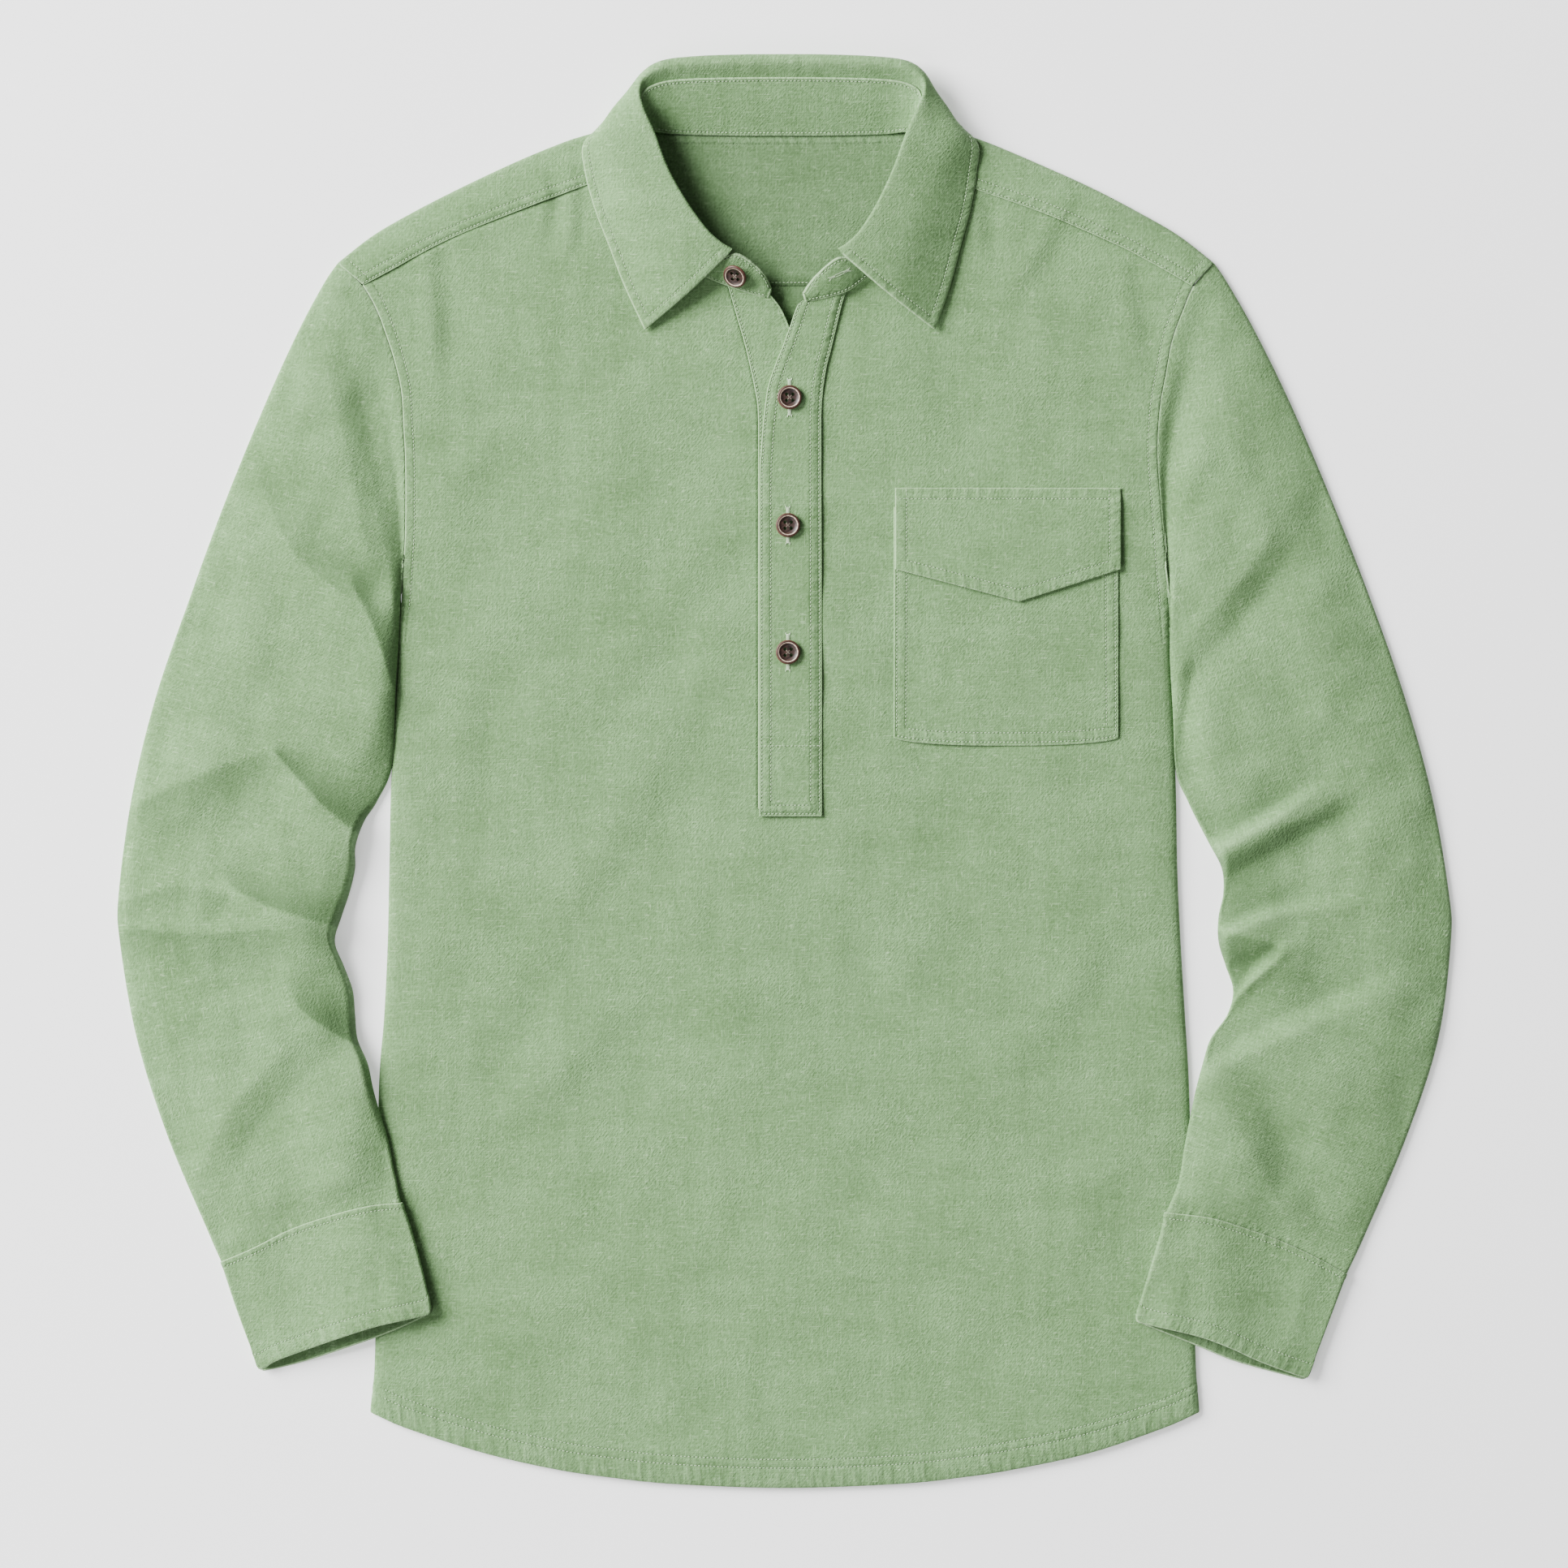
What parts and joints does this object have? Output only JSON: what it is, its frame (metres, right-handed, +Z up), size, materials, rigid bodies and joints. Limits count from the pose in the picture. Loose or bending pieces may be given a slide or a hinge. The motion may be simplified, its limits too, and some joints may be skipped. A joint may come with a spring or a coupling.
{
  "type": "long-sleeved popover polo shirt",
  "caption": "Long-sleeved half-placket polo shirt with a collar on a stand, a flapped chest pocket and plain cuffs, laid flat with its front up.",
  "frame": {"origin": "On the floor under the middle of the shirt's bounding box as it lies flat.", "axes": "+Z up off the floor, +Y towards the collar, +X towards the pocket side as seen from above."},
  "size_m": [0.739, 0.7937, 0.0237],
  "materials": {
    "sage_cloth": "washed plain-weave cotton and linen, sage green, brushed and slightly slubby",
    "brown_button": "polished dark brown horn look with a paler inner ring"
  },
  "bodies": {
    "root": {"back": "sage_cloth", "yoke": "sage_cloth", "front": "sage_cloth", "under_placket": "sage_cloth", "placket": "sage_cloth", "collar_stand": "sage_cloth", "collar_leaf": "sage_cloth", "sleeve_left": "sage_cloth", "sleeve_right": "sage_cloth", "cuff_left": "sage_cloth", "cuff_right": "sage_cloth", "pocket": "sage_cloth", "pocket_flap": "sage_cloth", "button_1": "brown_button", "button_2": "brown_button", "button_3": "brown_button", "stand_button": "brown_button"}
  },
  "joints": []
}
